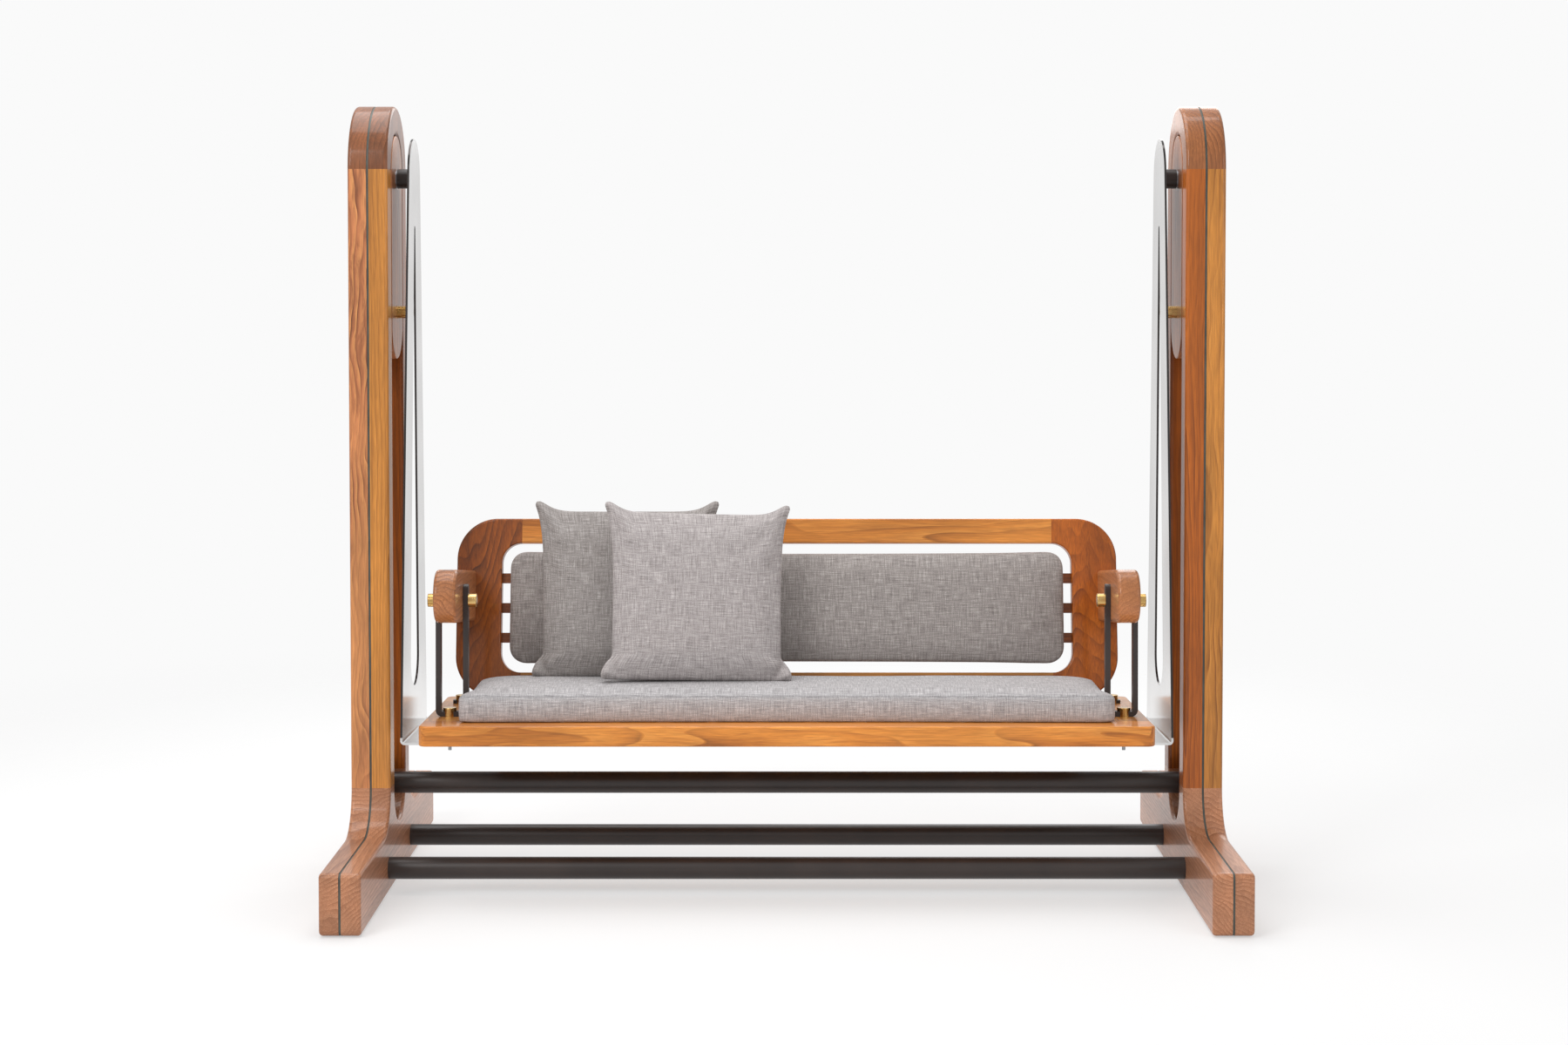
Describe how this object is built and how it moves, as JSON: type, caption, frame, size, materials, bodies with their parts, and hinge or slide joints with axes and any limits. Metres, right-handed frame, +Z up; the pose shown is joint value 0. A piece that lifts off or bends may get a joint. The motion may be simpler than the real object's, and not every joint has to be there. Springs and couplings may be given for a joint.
{
  "type": "swing seat",
  "caption": "Free-standing teak swing: looped side stands on long feet, steel cross tubes, and an upholstered teak seat hung on tapered steel plates with drop-shaped cut-outs.",
  "frame": {"origin": "on the floor, midway between the two stands and in the middle of their feet", "axes": "+X along the seat towards its right end as seen from the front, +Y to the back, +Z up"},
  "size_m": [2.073, 1.176, 1.83],
  "materials": {
    "teak": "gloss",
    "black_steel": "satin",
    "core_steel": "satin",
    "stainless": "polished",
    "brass": "polished",
    "bronze": "satin",
    "zinc_steel": "satin",
    "light_fabric": "matte",
    "dark_fabric": "matte",
    "foot_plastic": "matte"
  },
  "bodies": {
    "stand": {"axle_cap_nuts": "black_steel", "axles": "zinc_steel", "foot_pads": "foot_plastic", "guide_studs": "brass", "left_core_plate": "core_steel", "left_hub_block": "teak", "left_inner_arch": "teak", "left_inner_foot": "teak", "left_inner_front_post": "teak", "left_inner_rear_post": "teak", "left_outer_arch": "teak", "left_outer_foot": "teak", "left_outer_front_post": "teak", "left_outer_rear_post": "teak", "low_cross_tubes": "black_steel", "right_core_plate": "core_steel", "right_hub_block": "teak", "right_inner_arch": "teak", "right_inner_foot": "teak", "right_inner_front_post": "teak", "right_inner_rear_post": "teak", "right_outer_arch": "teak", "right_outer_foot": "teak", "right_outer_front_post": "teak", "right_outer_rear_post": "teak", "thrust_washers": "zinc_steel", "tube_bolts": "black_steel", "tube_end_plugs": "zinc_steel", "upper_cross_tube": "black_steel"},
    "swing": {"arm_bolts": "zinc_steel", "arm_brass_caps": "brass", "arm_screws": "zinc_steel", "back_bottom_rail": "teak", "back_cushion": "dark_fabric", "back_slats": "teak", "back_top_rail": "teak", "bearing_bushes": "bronze", "bearing_housings": "black_steel", "brass_knobs": "brass", "flange_bolts": "zinc_steel", "front_pillow": "light_fabric", "knob_nuts": "zinc_steel", "knob_studs": "zinc_steel", "left_arm": "teak", "left_arm_bracket": "black_steel", "left_back_stile": "teak", "left_hanger_plate": "stainless", "left_seat_end": "teak", "rear_pillow": "light_fabric", "rear_spacers": "brass", "rear_straps": "black_steel", "right_arm": "teak", "right_arm_bracket": "black_steel", "right_back_stile": "teak", "right_hanger_plate": "stainless", "right_seat_end": "teak", "seat_cushion": "light_fabric", "seat_front_rail": "teak", "seat_rear_rail": "teak", "seat_slats": "teak"}
  },
  "joints": [
    {"name": "swing_hinge", "type": "hinge", "parent": "stand", "child": "swing", "pos_m": [0, 0, 1.66], "axis": [1, 0, 0], "range_deg": [-20, 20]}
  ]
}
